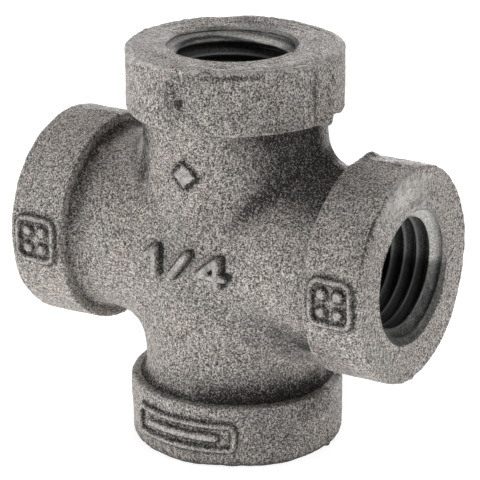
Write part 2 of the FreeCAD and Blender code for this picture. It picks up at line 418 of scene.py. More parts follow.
def size_numerals(x, z):
    """The nominal size, 1/4, across the middle of the hub."""
    strokes = [
        ((-3.6, -1.25), (-3.6, 1.25)),
        ((-3.6, 1.25), (-4.4, 0.55)),
        ((-1.7, -1.25), (0.3, 1.25)),
        ((3.8, -1.25), (3.8, 1.25)),
        ((3.8, 1.25), (1.8, -0.45)),
        ((1.8, -0.45), (4.5, -0.45)),
    ]
    distances = [stroke(x, z, start, end, NUMERAL_STROKE) for start, end in strokes]
    return np.minimum.reduce(distances)


def diamond(x, z):
    """Distance outside the diamond on the upper barrel."""
    return (np.abs(x) + np.abs(z - DIAMOND_HEIGHT) - DIAMOND_REACH) / math.sqrt(2)


def square_mark(x, z):
    """Distance outside the rounded square and its four pips."""
    side, corner = SQUARE_FRAME
    pips = pip(np.abs(x) - PIP_SPACING / 2, np.abs(z) - PIP_SPACING / 2)
    return np.minimum(rounded_frame(x, z, side, side, corner), pips)


def pad_mark(x, z):
    """Distance outside the rounded rectangle and its bar."""
    length, width = PAD_BAR
    half = (length - width) / 2
    bar = stroke(x, z, (-half, 0), (half, 0), width)
    return np.minimum(rounded_frame(x, z, *PAD_FRAME), bar)


BAND_MARKS = {"right": square_mark, "left": square_mark, "bottom": pad_mark}


# ---- grime left on the casting ----
def blotch(points, centre, radii):
    """1 at a centre, fading to 0 at the radii, along X, Y and Z."""
    away = np.sqrt((((points - centre) / radii) ** 2).sum(axis=1))
    ragged = away * (1 + 0.35 * noise(points, 1.3, 31) + 0.2 * noise(points, 0.5, 32))
    return np.clip(1.25 - ragged, 0, 1)


def dirt_of_outline(distance, points, reach=DIRT_REACH):
    """Patchy dirt caught along a mark's outline, mostly outside it."""
    patchy = 0.95 + 0.2 * noise(points, 0.5, 36)
    return patchy * np.exp(-(((distance - DIRT_OFFSET) / reach) ** 2))


def flaw_height(points, flaws):
    """The summed height of lumps and nicks at each point."""
    total = np.zeros(len(points))
    for centre, radii, height in flaws:
        total += height * blotch(points, centre, radii)
    return total


def wear_tops(soil_and_light, distance):
    """Rub the tops of raised marks bright."""
    top = rise(distance + TOP_MARGIN)
    return soil_and_light * (1 - top) - MARK_WEAR * top


def add_soil_and_light(piece, soil_and_light):
    """Store each point's state for the material to read: 1 is dark with dirt and painted shade, 0
    bare and -1 bright with wear and painted highlight.
    """
    layer = piece.data.attributes.new("soil_and_light", "FLOAT", "POINT")
    layer.data.foreach_set("value", np.clip(soil_and_light, -1, 1).astype(np.float32))


# ---- meshes ----
def new_mesh(name, points, faces):
    """A mesh of points and an array or list of faces."""
    mesh = bpy.data.meshes.new(name)
    mesh.vertices.add(len(points))
    mesh.vertices.foreach_set("co", points.astype(np.float32).ravel())
    if isinstance(faces, list):
        sizes = np.array([len(face) for face in faces], np.int32)
        corners = np.concatenate([np.asarray(face) for face in faces])
    else:
        sizes = np.full(len(faces), faces.shape[1], np.int32)
        corners = faces.ravel()
    starts = np.concatenate([[0], np.cumsum(sizes)[:-1]])
    mesh.loops.add(len(corners))
    mesh.loops.foreach_set("vertex_index", corners.astype(np.int32))
    mesh.polygons.add(len(sizes))
    mesh.polygons.foreach_set("loop_start", starts.astype(np.int32))
    mesh.update(calc_edges=True)
    return mesh


def new_piece(mesh, material):
    """An object of the mesh's name in the scene, shaded smooth."""
    mesh.polygons.foreach_set("use_smooth", np.ones(len(mesh.polygons), bool))
    mesh.materials.append(material)
    piece = bpy.data.objects.new(mesh.name, mesh)
    bpy.context.scene.collection.objects.link(piece)
    return piece


def grid_pairs(grid, axis):
    """A grid's values at the start and at the end of each of its edges along an axis."""
    start = [slice(None)] * 3
    end = [slice(None)] * 3
    start[axis] = slice(0, -1)
    end[axis] = slice(1, None)
    return grid[tuple(start)], grid[tuple(end)]


def net_points(field, inside, shape):
    """The cells that a field's surface crosses, and its mean crossing of their edges."""
    reached, places = [], []
    for axis in range(3):
        inside_start, inside_end = grid_pairs(inside, axis)
        changes = np.argwhere(inside_start != inside_end)
        value_start, value_end = [values[tuple(changes.T)] for values in grid_pairs(field, axis)]
        place = changes.astype(np.float64)
        place[:, axis] += value_start / (value_start - value_end)
        sides = [other for other in range(3) if other != axis]
        for back in ((0, 0), (0, 1), (1, 0), (1, 1)):
            cell = changes.copy()
            cell[:, sides[0]] -= back[0]
            cell[:, sides[1]] -= back[1]
            good = np.all((cell >= 0) & (cell < shape), axis=1)
            reached.append(np.ravel_multi_index(tuple(cell[good].T), shape))
            places.append(place[good])
    cells, owner = np.unique(np.concatenate(reached), return_inverse=True)
    places = np.concatenate(places)
    crossings = np.bincount(owner)
    middles = [np.bincount(owner, places[:, axis]) / crossings for axis in range(3)]
    return cells, np.stack(middles, axis=1)


def net_quads(inside, number, shape):
    """A quad round each grid edge that the surface crosses, from the numbers of its cells."""
    quads = []
    for axis in range(3):
        start, end = grid_pairs(inside, axis)
        first, second = [(1, 2), (2, 0), (0, 1)][axis]
        for mask, flip in ((start & ~end, False), (~start & end, True)):
            edges = np.argwhere(mask)
            good = (edges[:, first] > 0) & (edges[:, second] > 0)
            good &= (edges[:, first] < shape[first]) & (edges[:, second] < shape[second])
            edges = edges[good]
            ring = []
            for back in ((1, 1), (0, 1), (0, 0), (1, 0)):
                cell = edges.copy()
                cell[:, first] -= back[0]
                cell[:, second] -= back[1]
                ring.append(number[tuple(cell.T)])
            if flip:
                ring.reverse()
            quads.append(np.stack(ring, axis=1))
    return np.concatenate(quads)


def surface_net(field, low, step):
    """Points and quads where a field sampled on a grid changes sign, facing outwards."""
    inside = field < 0
    shape = np.array(field.shape) - 1
    cells, places = net_points(field, inside, shape)
    number = np.full(shape, -1, np.int32)
    number.ravel()[cells] = np.arange(len(cells))
    return places * step + low, net_quads(inside, number, shape)


def grid_axes(half_sizes, step):
    """Coordinates of a centred grid, one broadcastable array per axis, and its low corner."""
    counts = [int(math.ceil(half / step)) for half in half_sizes]
    axes = [np.arange(-count, count + 1, dtype=np.float32) * step for count in counts]
    low = np.array([axis[0] for axis in axes])
    return axes[0][:, None, None], axes[1][None, :, None], axes[2][None, None, :], low


def smooth_union(a, b, blend):
    """The lower of two fields, rounded where they are within blend of each other."""
    mix = np.maximum(blend - np.abs(a - b), 0) / np.maximum(blend, 1e-6)
    return np.minimum(a, b) - mix * mix * blend / 4


def barrel_radius(along):
    """A barrel's radius along its run, flaring in a quarter round up to each band's back."""
    into_foot = np.clip(np.abs(along) - (BAND_BACK - FOOT_RADIUS), 0, 0.97 * FOOT_RADIUS)
    return BARREL_RADIUS + FOOT_RADIUS - np.sqrt(FOOT_RADIUS ** 2 - into_foot ** 2)


def hub_field(x, y, z):
    """The hub's outside as a signed distance: crossed barrels, soft crotches and band feet."""
    reach_up = np.sqrt(x * x + y * y)
    reach_across = np.sqrt(y * y + z * z)
    between = y * y / np.maximum(reach_up * reach_across, 1e-6)
    depth = np.clip(np.abs(y) / BARREL_RADIUS, 0, 1)
    radius = CROTCH_RADIUS + (FRONT_CROTCH_RADIUS - CROTCH_RADIUS) * depth
    blend = 4 * radius * (1 - np.sqrt((1 + between) / 2))
    field = smooth_union(reach_up - barrel_radius(z), reach_across - barrel_radius(x), blend)
    return field.astype(np.float32)


def hub_relief(points):
    """Height of the marks and the parting fin at points near the hub's skin."""
    x, y, z = points.T
    numerals = NUMERAL_RELIEF * rise(size_numerals(x, z))
    hub_mark = DIAMOND_RELIEF * rise(diamond(x, z))
    fin_height, fin_width = HUB_FIN
    fin = fin_height * np.exp(-((y / fin_width) ** 2)) * (0.8 + 0.5 * noise(points, 1.7, 8))
    return np.maximum(numerals, hub_mark) * (y < 0) + fin + flaw_height(points, HUB_FLAWS)


def hub_mark_soil_and_shadow(points):
    """Painted shadow beside the numerals, a thin line of dirt round them, and dirt round the
    diamond.
    """
    x, y, z = points.T
    outline = size_numerals(x, z)
    # the numerals' painted shadow, on their upper right
    beside = rise(size_numerals(x - NUMERAL_SHADOW[0], z - NUMERAL_SHADOW[1]) - 0.1)
    numerals = np.clip(beside - rise(outline), 0, 1)
    amount, offset, reach = NUMERAL_LINE
    numerals = np.maximum(numerals, amount * np.exp(-(((outline - offset) / reach) ** 2)))
    hub_mark = dirt_of_outline(diamond(x, z), points, DIAMOND_DIRT)
    return np.maximum(numerals, hub_mark) * (y < 0)


def hub_soil_and_shade(points):
    """Dirt and painted shadow round the hub's marks, painted shade along its crotches, in its upper
    right corner and against the bands, and its stains and painted shade.
    """
    x, y, z = points.T
    ragged = 1 + 0.3 * noise(points, 2.6, 33) + 0.15 * noise(points, 0.7, 34)
    soil_and_light = hub_mark_soil_and_shadow(points)
    tops = np.where(y < 0, np.minimum(size_numerals(x, z), diamond(x, z)), 1)
    # painted shade along the crotches
    for (side, end), (width, amount) in CROTCH_SHADE.items():
        across = (x * side - z * end) / (width * ragged)
        out = np.clip((np.minimum(x * side, z * end) - CROTCH_START) / CROTCH_FADE, 0, 1)
        soil_and_light = np.maximum(soil_and_light, amount * out * np.exp(-across * across))
    fade_end, fade, least = BACK_FADE
    front = np.clip((fade_end - y) / fade, least, 1)
    # painted shade over the upper right corner, fading towards the back
    corner_x, corner_z, edge, amount = CORNER_SHADE
    into_corner = np.minimum(x - corner_x, z - corner_z) / (edge * ragged)
    soil_and_light = np.maximum(soil_and_light, amount * front * np.clip(into_corner, 0, 1))
    # painted shade on the hub against each band's foot
    for port, (narrow, wide, direction, start, fade) in FOOT_SHADE.items():
        along = {"top": z, "right": x, "bottom": -z, "left": -x}[port]
        share = front * np.clip((points @ np.array(direction) - start) / fade, 0, 1)
        for (width, amount), weight in ((narrow, 1), (wide, share)):
            away = np.clip(BAND_BACK - along, 0, None) / (width * ragged)
            soil_and_light = np.maximum(soil_and_light, weight * amount * np.exp(-away * away))
    # stains and painted shade on the hub
    for centre, radii, amount in HUB_STAINS_AND_SHADE:
        soil_and_light = np.maximum(soil_and_light, amount * blotch(points, centre, radii))
    return wear_tops(soil_and_light, tops)


def hub_skin():
    """The hub's outside with its skin and marks, as points and quads."""
    half_sizes = np.add((BAND_BACK, BARREL_RADIUS, BAND_BACK), SKIN_ROOM)
    x, y, z, low = grid_axes(half_sizes, HUB_STEP)
    field = hub_field(x, y, z)
    near = np.argwhere(np.abs(field) < SKIN_REACH)
    points = near * HUB_STEP + low
    field[tuple(near.T)] -= cast_skin(points) + hub_relief(points)
    return surface_net(field, low, HUB_STEP)


def hub_cavity():
    """The cored chamber and the four sockets that the threads fill, facing into the metal."""
    half_sizes = np.add((BAND_BACK, SOCKET_RADIUS, BAND_BACK), CAVITY_ROOM)
    x, y, z, low = grid_axes(half_sizes, CAVITY_STEP)
    radius_x = np.where(np.abs(x) < THROAT_END, CHAMBER_RADIUS, SOCKET_RADIUS)
    radius_z = np.where(np.abs(z) < THROAT_END, CHAMBER_RADIUS, SOCKET_RADIUS)
    field = np.minimum(np.sqrt(y * y + z * z) - radius_x, np.sqrt(x * x + y * y) - radius_z)
    points, quads = surface_net(field.astype(np.float32), low, CAVITY_STEP)
    return points, quads[:, ::-1]


def trimmed(points, quads, reach):
    """A bmesh of the quads, cut off square at the four end planes."""
    mesh = new_mesh("trimmed", points, quads)
    shell = bmesh.new()
    shell.from_mesh(mesh)
    bpy.data.meshes.remove(mesh)
    for normal in END_NORMALS:
        place = [reach * part for part in normal]
        everything = shell.verts[:] + shell.edges[:] + shell.faces[:]
        plane = {"plane_co": place, "plane_no": normal, "clear_outer": True}
        bmesh.ops.bisect_plane(shell, geom=everything, **plane)
    return shell


def open_edges(shell, normal, reach):
    """The border edges that lie on one end plane."""
    found = []
    for edge in shell.edges:
        if len(edge.link_faces) == 1:
            offsets = [vert.co.x * normal[0] + vert.co.z * normal[2] for vert in edge.verts]
            if min(offsets) > reach - 0.01:
                found.append(edge)
    return found


def make_hub(material):
    """The hub: skin outside, cored cavity inside, closed by a ring at each band."""
    cut = BAND_BACK - HUB_GAP
    shell = trimmed(*hub_skin(), cut)
    for normal in END_NORMALS:
        edges = open_edges(shell, normal, cut)
        grown = bmesh.ops.extrude_edge_only(shell, edges=edges)["geom"]
        verts = [item for item in grown if isinstance(item, bmesh.types.BMVert)]
        bmesh.ops.translate(shell, verts=verts, vec=[HUB_SOCKET * part for part in normal])
    inner = trimmed(*hub_cavity(), cut + HUB_SOCKET)
    inner_mesh = bpy.data.meshes.new("cavity")
    inner.to_mesh(inner_mesh)
    inner.free()
    shell.from_mesh(inner_mesh)
    bpy.data.meshes.remove(inner_mesh)
    for normal in END_NORMALS:
        edges = open_edges(shell, normal, cut + HUB_SOCKET)
        bmesh.ops.bridge_loops(shell, edges=edges)
    bmesh.ops.recalc_face_normals(shell, faces=shell.faces)
    bmesh.ops.scale(shell, vec=(MM, MM, MM), verts=shell.verts)
    mesh = bpy.data.meshes.new("hub_casting")
    shell.to_mesh(mesh)
    shell.free()
    piece = new_piece(mesh, material)
    places = np.empty(3 * len(mesh.vertices), np.float32)
    mesh.vertices.foreach_get("co", places)
    add_soil_and_light(piece, hub_soil_and_shade(places.reshape(-1, 3) / MM))
    return piece


def port_to_part(points, port):
    """Points of the top port, turned about Y to the named port."""
    x, y, z = points[..., 0], points[..., 1], points[..., 2]
    turned = {
        "top": (x, y, z),
        "right": (z, y, -x),
        "bottom": (-x, y, -z),
        "left": (-z, y, x),
    }[port]
    return np.stack(turned, axis=-1)


def mouth_radius(angle, port):
    """The countersink's edge, slightly out of round where it meets the rough face."""
    ring = np.stack([np.cos(angle), np.sin(angle), 0 * angle], axis=-1) * MOUTH_RADIUS
    seed = 20 + PORTS.index(port)
    wobble = 0.6 * noise(ring, 2.6, seed) + 0.4 * noise(ring, 0.8, seed + 10)
    across, up = COUNTERSINK_OFFSET[port]
    oval, towards = COUNTERSINK_OVAL[port]
    eccentric = across * np.cos(angle) + up * np.sin(angle)
    out_of_round = oval * (np.cos(2 * (angle - math.radians(towards))) - 1)
    return MOUTH_RADIUS + eccentric + out_of_round + MOUTH_WOBBLE * wobble


def spread(start, end, count):
    """Count evenly spaced shares from start towards end, leaving the end out."""
    return start + (end - start) * np.arange(count)[:, None] / count


def band_profile(angle, port):
    """Radius, height and outward direction round a band's section, per column."""
    ring = np.stack([np.cos(angle), np.sin(angle), 0 * angle], axis=-1) * BAND_RADIUS
    face_edge = FACE_EDGE + FACE_EDGE_SPREAD * noise(ring, 5.0, 40 + PORTS.index(port))
    mouth = mouth_radius(angle, port)
    one = np.ones_like(angle)

    def line(radii, heights, facing, count, rough=1.0):
        """A straight stretch, facing one way."""
        radius = spread(radii[0] * one, radii[1] * one, count)
        height = spread(heights[0] * one, heights[1] * one, count)
        flat = np.ones((count, 1)) * one
        return radius, height, flat * facing[0], flat * facing[1], flat * rough

    def arc(centre_r, centre_z, edge, start, end, count):
        """A rounded edge, facing away from its centre."""
        turn = np.radians(spread(start * one, end * one, count))
        radius = centre_r + edge * np.cos(turn)
        height = centre_z + edge * np.sin(turn)
        return radius, height, np.cos(turn), np.sin(turn), np.ones_like(turn)

    face = CENTRE_TO_END
    side_low = BAND_BACK + BACK_EDGE
    side_high = face - face_edge
    sections = [
        line((SOCKET_RADIUS, SEAT_RADIUS), (BAND_BACK, BAND_BACK), (0, -1), 1, 0),
        line((SEAT_RADIUS, BAND_RADIUS - BACK_EDGE), (BAND_BACK, BAND_BACK), (0, -1), 14),
        arc(BAND_RADIUS - BACK_EDGE, side_low, BACK_EDGE, -90, 0, 7),
        line((BAND_RADIUS, BAND_RADIUS), (side_low, side_high), (1, 0), 46),
        arc(BAND_RADIUS - face_edge, side_high, face_edge, 0, 90, 7),
        line((BAND_RADIUS - face_edge, mouth), (face, face), (0, 1), 30),
        line((mouth, SOCKET_RADIUS), (face, face - SOCKET_LIP), (0, 0), 1, 0),
        line((SOCKET_RADIUS, SOCKET_RADIUS), (face - SOCKET_LIP, BAND_BACK), (0, 0), 1, 0),
    ]
    return [np.concatenate(stack) for stack in zip(*sections)]


def band_relief(points, angle, height, port):
    """Height of a band's mark and parting fin, and the dirt round the mark."""
    arc_length = (np.mod(angle, 2 * np.pi) - 1.5 * np.pi) * BAND_RADIUS
    up = height - BAND_MIDDLE
    relief = 0.0
    soil_and_light = 0.0 * up
    if port in BAND_MARKS:
        distance = BAND_MARKS[port](arc_length, up)
        relief = RELIEF * rise(distance)
        dirt = dirt_of_outline(distance.ravel(), points.reshape(-1, 3)).reshape(up.shape)
        on_front = np.abs(points[..., 1]) > BAND_RADIUS / 2
        soil_and_light = wear_tops(BAND_MARK_DIRT * dirt, distance) * on_front
    fin_height, fin_width = BAND_FIN
    ragged = 0.75 + 0.6 * noise(points.reshape(-1, 3), 1.9, 12).reshape(height.shape)
    fin = fin_height * np.exp(-((points[..., 1] / fin_width) ** 2)) * np.maximum(ragged, 0.1)
    return relief + fin, soil_and_light


def band_stains_and_light(points, port, soil_and_light):
    """The band's dirt and light with its stains and painted shade laid over it, and its bright
    patches of wear and painted highlight taken off it.
    """
    for centre, radii, amount in BAND_STAINS_AND_LIGHT.get(port, []):
        stain_and_light = amount * blotch(points, centre, radii)
        soil_and_light = soil_and_light + np.where(stain_and_light > 0, np.maximum(stain_and_light - np.maximum(soil_and_light, 0), 0), stain_and_light)
    return soil_and_light


def turned_ridges(radius, angle, port):
    """Faint ridges round a band's face."""
    place = np.stack([radius * 3.2, 3 * np.cos(angle), 3 * np.sin(angle)], axis=-1)
    ridges = noise(place.reshape(-1, 3), 1.6, 50 + PORTS.index(port))
    return RIDGE_HEIGHT[port] * ridges.reshape(radius.shape)


def make_band(port, material):
    """The band round a port: its section turned round the port's axis, then roughened."""
    angle = 2 * np.pi * np.arange(BAND_COLUMNS) / BAND_COLUMNS
    radius, height, facing_r, facing_z, rough = band_profile(angle, port)
    cosine, sine = np.cos(angle), np.sin(angle)
    points = port_to_part(np.stack([radius * cosine, radius * sine, height], axis=-1), port)
    facing = np.stack([facing_r * cosine, facing_r * sine, facing_z + 0 * radius], axis=-1)
    facing = port_to_part(facing, port)
    skin = cast_skin(points.reshape(-1, 3)).reshape(radius.shape)
    relief, soil_and_light = band_relief(points, angle + 0 * radius, height, port)
    on_side = np.clip(facing_r, 0, 1)
    on_face = np.clip(facing_z, 0, 1)
    on_edge = on_side * np.abs(facing_z)
    flaws = flaw_height(points.reshape(-1, 3), BAND_FLAWS.get(port, [])).reshape(radius.shape)
    ridges = turned_ridges(radius, angle + 0 * radius, port)
    # the rounded edges brightened as wear and painted highlight
    worn_and_highlit = 1 + 0.8 * noise(points.reshape(-1, 3), 1.5, 35).reshape(radius.shape)
    back_wear_and_highlight, face_wear_and_highlight = EDGE_WEAR_AND_HIGHLIGHT[port]
    edge_wear_and_highlight = np.where(facing_z > 0, face_wear_and_highlight, back_wear_and_highlight)
    soil_and_light = soil_and_light * on_side - edge_wear_and_highlight * 2 * on_edge * worn_and_highlit
    soil_and_light = band_stains_and_light(points.reshape(-1, 3), port, soil_and_light.ravel())
    height_out = (skin + relief * on_side + ridges * on_face + flaws) * rough
    points = points + facing * height_out[..., None]
    rows = len(radius)
    index = np.arange(rows * BAND_COLUMNS).reshape(rows, BAND_COLUMNS)
    after = np.roll(index, -1, axis=0)
    beside = np.roll(index, -1, axis=1)
    corner = np.roll(after, -1, axis=1)
    quads = np.stack([index, beside, corner, after], axis=-1).reshape(-1, 4)
    points = points.reshape(-1, 3).astype(np.float32) * MM
    mesh = new_mesh("band_" + port + "_casting", points, quads)
    mesh.validate()
    piece = new_piece(mesh, material)
    add_soil_and_light(piece, soil_and_light)
    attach(piece, "root")
    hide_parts("band_" + port)


def thread_radius(height, turn):
    """The tapped wall's radius at a height in the port and a share of the thread's pitch."""
    depth = CENTRE_TO_END - height
    crest = np.maximum(CREST_RADIUS - TAPER * depth, THROAT_RADIUS)
    from_root = np.abs(np.mod(turn + 0.5, 1) - 0.5) * PITCH
    up_flank = (from_root - ROOT_FLAT) / math.tan(math.radians(FLANK_ANGLE))
    groove = np.clip(THREAD_HEIGHT - up_flank, 0, THREAD_HEIGHT)
    fade = np.clip((THREAD_DEPTH - depth) / PITCH, 0, 1)
    return crest + groove * fade


def thread_soil_and_light(radius, height, turn, angle, into_chamfer, port):
    """Painted light and shade of the tapped wall: a first flank lit on one side, a countersink
    shaded on the other with a painted shadow line under its lip, and grooves dark with oil and
    painted shade.
    """
    depth = CENTRE_TO_END - height
    at_face = turn[-1]
    first_crest = np.floor(at_face - 0.5 - FIRST_CREST) + 0.5
    first_depth = (at_face - first_crest) * PITCH
    lit_side, level, sharpness, low, high = FLANK_LIGHT_AND_SHADE[port]
    # how far each column faces the lit side of the port
    share = np.clip(0.5 + sharpness * (np.cos(angle - math.radians(lit_side)) - level), 0, 1)
    flank = high + (low - high) * share * share * (3 - 2 * share)
    points = np.stack([radius * np.cos(angle), radius * np.sin(angle), height], axis=-1)
    points = points.reshape(-1, 3)
    seed = 60 + PORTS.index(port)
    cloud = 0.14 * noise(points, 1.4, seed) + 0.1 * noise(points, 0.5, seed + 5)
    countersink = COUNTERSINK_SHADE[port] - COUNTERSINK_LIT * share
    soil_and_light = np.where(into_chamfer > 0, countersink, flank) + cloud.reshape(radius.shape)
    # a painted shadow line under the countersink's lip
    soil_and_light = np.maximum(soil_and_light, np.exp(-((into_chamfer / COUNTERSINK_SHADOW_LINE) ** 2)))
    # oil and painted shade past the first crest, lighter on the lit side
    beyond = np.clip((depth - first_depth) / OIL_AND_SHADE_FADE, 0, 1)
    oil_and_shade = 1 - OIL_LIGHTER_WHEN_LIT * share
    return soil_and_light + (oil_and_shade - soil_and_light) * beyond


def thread_wall(port, angle):
    """Radius, height, and painted light and shade of a tapped wall, by row and column. Its rows
    follow the helix, and are held square at the face and the throat."""
    groove_low = CENTRE_TO_END - THREAD_DEPTH - PITCH * THREAD_STARTS[port] / 360
    bottom = groove_low - 3 * PITCH
    rows = int(math.ceil(((CENTRE_TO_END - bottom) / PITCH + 1) * ROWS_PER_PITCH)) + 1
    share = np.arange(rows) / ROWS_PER_PITCH
    helix = bottom + PITCH * (share[:, None] + angle / (2 * np.pi))
    height = np.clip(helix, THROAT_END, CENTRE_TO_END)
    turn = share[:, None] + (height - helix) / PITCH
    mouth = mouth_radius(angle, port)
    countersink = mouth - (CENTRE_TO_END - height)
    radius = np.maximum(thread_radius(height, turn), countersink)
    radius = np.where(height >= CENTRE_TO_END, mouth, radius)
    soil_and_light = thread_soil_and_light(radius, height, turn, angle, countersink - thread_radius(height, turn), port)
    return radius, height, soil_and_light


def wall_index(height):
    """The number of each of the wall's points; points that a square end holds together share one."""
    index = np.arange(height.size).reshape(height.shape)
    for row in range(1, len(height)):
        same = height[row] == height[row - 1]
        index[row] = np.where(same, index[row - 1], index[row])
    return index


def wall_quads(index):
    """Quads between the wall's rows. Past its last column a row runs on one pitch higher."""
    beside = np.roll(index, -1, axis=1)
    beside[:, -1] = np.append(index[ROWS_PER_PITCH:, 0], np.full(ROWS_PER_PITCH, index[-1, 0]))
    quads = np.stack([index[:-1], index[1:], beside[1:], beside[:-1]], axis=-1).reshape(-1, 4)
    flat = (quads[:, 0] == quads[:, 1]) & (quads[:, 2] == quads[:, 3])
    return quads[~flat]


def ring_quads(loops):
    """Quads that join each loop of points to the next."""
    joined = []
    for here, there in zip(loops[:-1], loops[1:]):
        joined.append(np.stack([here, there, np.roll(there, -1), np.roll(here, -1)], axis=-1))
    return np.concatenate(joined)


def without_gaps(quads):
    """Faces whose corners all differ, numbered without gaps, and the old numbers that they use."""
    faces = [list(dict.fromkeys(quad)) for quad in quads.tolist()]
    faces = [face for face in faces if len(face) > 2]
    used = np.unique(np.concatenate(faces))
    renumber = np.full(used[-1] + 1, -1)
    renumber[used] = np.arange(len(used))
    return [renumber[face] for face in faces], used


def make_thread(port, material):
    """The tapped wall of a port, closed by the socket in the casting that it fills."""
    angle = 2 * np.pi * np.arange(THREAD_COLUMNS) / THREAD_COLUMNS
    radius, height, soil_and_light = thread_wall(port, angle)
    points = np.stack([radius * np.cos(angle), radius * np.sin(angle), height], axis=-1)
    stacks = [points.reshape(-1, 3)]
    across, up = SOCKET_RADIUS * np.cos(angle), SOCKET_RADIUS * np.sin(angle)
    for end in (CENTRE_TO_END - SOCKET_LIP, THROAT_END):
        stacks.append(np.stack([across, up, end + 0 * angle], axis=-1))
    index = wall_index(height)
    outer = height.size + np.arange(THREAD_COLUMNS)
    closing = ring_quads([index[-1], outer, outer + THREAD_COLUMNS, index[0]])
    faces, used = without_gaps(np.concatenate([wall_quads(index), closing]))
    points = port_to_part(np.concatenate(stacks)[used], port).astype(np.float32) * MM
    mesh = new_mesh("thread_" + port + "_tapped", points, faces)
    mesh.validate()
    piece = new_piece(mesh, material)
    soil_and_light = np.concatenate([soil_and_light.ravel(), np.ones(2 * THREAD_COLUMNS)])
    add_soil_and_light(piece, soil_and_light[used])
    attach(piece, "root")
    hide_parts("thread_" + port)


# ---- materials ----
class Surface:
    """A material being built from nodes, on object coordinates in metres."""

    def __init__(self, name):
        self.material = bpy.data.materials.new(name)
        self.material.use_nodes = True
        self.tree = self.material.node_tree
        self.shader = self.tree.nodes["Principled BSDF"]
        self.place = self.add("ShaderNodeTexCoord").outputs["Object"]

    def add(self, kind, settings=None, **inputs):
        """A node with settings on it, and its inputs linked or set by name, or as n and a number."""
        node = self.tree.nodes.new(kind)
        for name, value in (settings or {}).items():
            setattr(node, name, value)
        for name, value in inputs.items():
            numbered = name[0] == "n" and name[1:].isdigit()
            socket = node.inputs[int(name[1:]) if numbered else name]
            if isinstance(value, bpy.types.NodeSocket):
                self.tree.links.new(value, socket)
            else:
                socket.default_value = value
        return node

    def noise(self, size, detail=2.0, roughness=0.55, place=None):
        """Noise from 0 to 1 with features of that size in millimetres."""
        node = self.add(
            "ShaderNodeTexNoise",
            Vector=self.place if place is None else place,
            Scale=1 / (size * MM),
            Detail=detail,
            Roughness=roughness,
        )
        return node.outputs["Fac"]

    def cells(self, size, smoothness=0.4):
        """Distance from the middle of round cells of that size in millimetres."""
        node = self.add(
            "ShaderNodeTexVoronoi",
            {"feature": "SMOOTH_F1"},
            Vector=self.place,
            Scale=1 / (size * MM),
            Smoothness=smoothness,
        )
        return node.outputs["Distance"]

    def remap(self, value, low, high, to_low=0.0, to_high=1.0):
        """A value's stretch from low to high, mapped smoothly and clamped."""
        smooth = {"interpolation_type": "SMOOTHSTEP"}
        limits = {"n1": low, "n2": high, "n3": to_low, "n4": to_high}
        return self.add("ShaderNodeMapRange", smooth, n0=value, **limits).outputs[0]

    def ramp(self, value, low, high):
        """0 at low and 1 at high, straight between them and clamped."""
        return self.add("ShaderNodeMapRange", n0=value, n1=low, n2=high).outputs[0]

    def math(self, operation, first, second=0.0):
        """Two numbers put together by the operation of that name."""
        return self.add("ShaderNodeMath", {"operation": operation}, n0=first, n1=second).outputs[0]

    def soil_and_light(self):
        """The piece's own dirt and wear, with its painted light and shade, at a point."""
        return self.add("ShaderNodeAttribute", {"attribute_name": "soil_and_light"}).outputs["Fac"]

    def open_sky(self, distance):
        """1 in the open and less in a hollow, looking that far in millimetres."""
        settings = {"samples": 8}
        return self.add("ShaderNodeAmbientOcclusion", settings, Distance=distance * MM).outputs["AO"]

    def blend(self, share, first, second):
        """Two colours mixed by a share."""
        colours = []
        for colour in (first, second):
            linked = isinstance(colour, bpy.types.NodeSocket)
            colours.append(colour if linked else (*colour, 1))
        settings = {"data_type": "RGBA"}
        return self.add("ShaderNodeMix", settings, n0=share, n6=colours[0], n7=colours[1]).outputs[2]

    def bump(self, height, depth, normal=None):
        """A normal bent by a height from 0 to 1, that deep in millimetres."""
        node = self.add("ShaderNodeBump", Height=height, Distance=depth * MM, Strength=1.0)
        if normal is not None:
            self.tree.links.new(normal, node.inputs["Normal"])
        return node.outputs["Normal"]

    def connect(self, **sockets):
        """Link values to the shader's inputs, named with _ for each space."""
        for name, value in sockets.items():
            self.tree.links.new(value, self.shader.inputs[name.replace("_", " ")])


